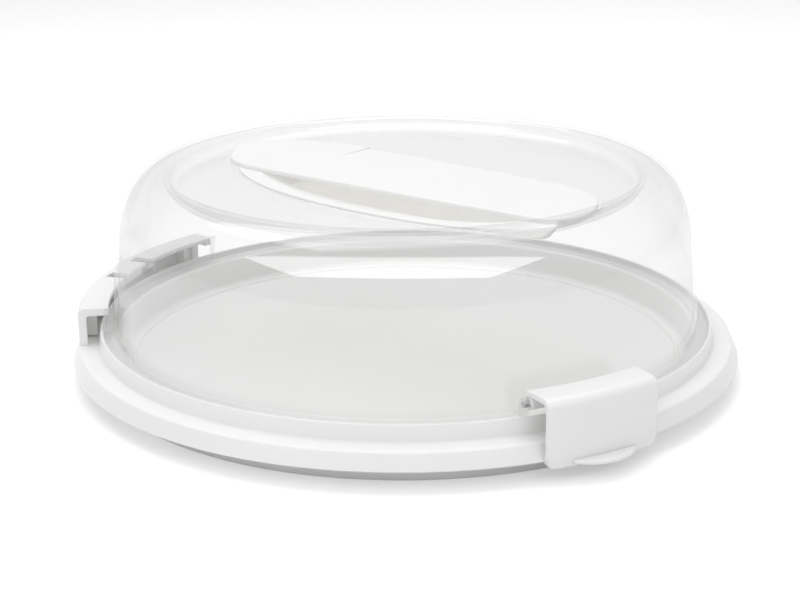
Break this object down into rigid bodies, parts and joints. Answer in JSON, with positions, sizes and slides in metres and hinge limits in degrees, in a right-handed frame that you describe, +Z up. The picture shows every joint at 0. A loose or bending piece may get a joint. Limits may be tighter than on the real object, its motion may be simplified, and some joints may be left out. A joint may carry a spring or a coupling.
{
  "type": "cake carrier with hinged lid",
  "caption": "Round cake carrier: flat white tray, clear domed lid on a rear hinge, front latch, and a sunk grip bar over a finger pan.",
  "frame": {"origin": "centre of the standing ring under the tray, on the table", "axes": "+Z up; the latch faces -Y"},
  "size_m": [0.346, 0.3574, 0.1073],
  "materials": {
    "white_plastic": "satin moulded",
    "clear_plastic": "clear polished",
    "pin_steel": "drawn"
  },
  "bodies": {
    "base": {"tray": "white_plastic", "rear_hinge": "white_plastic", "hinge_pin": "pin_steel"},
    "lid": {"dome": "clear_plastic", "finger_pan": "white_plastic", "grip_bar": "white_plastic", "latch_pin": "pin_steel"},
    "latch": {"front_latch": "white_plastic"}
  },
  "joints": [
    {"name": "lid_hinge", "type": "hinge", "parent": "base", "child": "lid", "pos_m": [-0.10733, 0.11713, 0.034], "axis": [-0.7373, -0.6756, 0], "range_deg": [0, 95]},
    {"name": "latch_swing", "type": "hinge", "parent": "lid", "child": "latch", "pos_m": [0, -0.15825, 0.0342], "axis": [-1, 0, 0], "range_deg": [0, 90]}
  ]
}
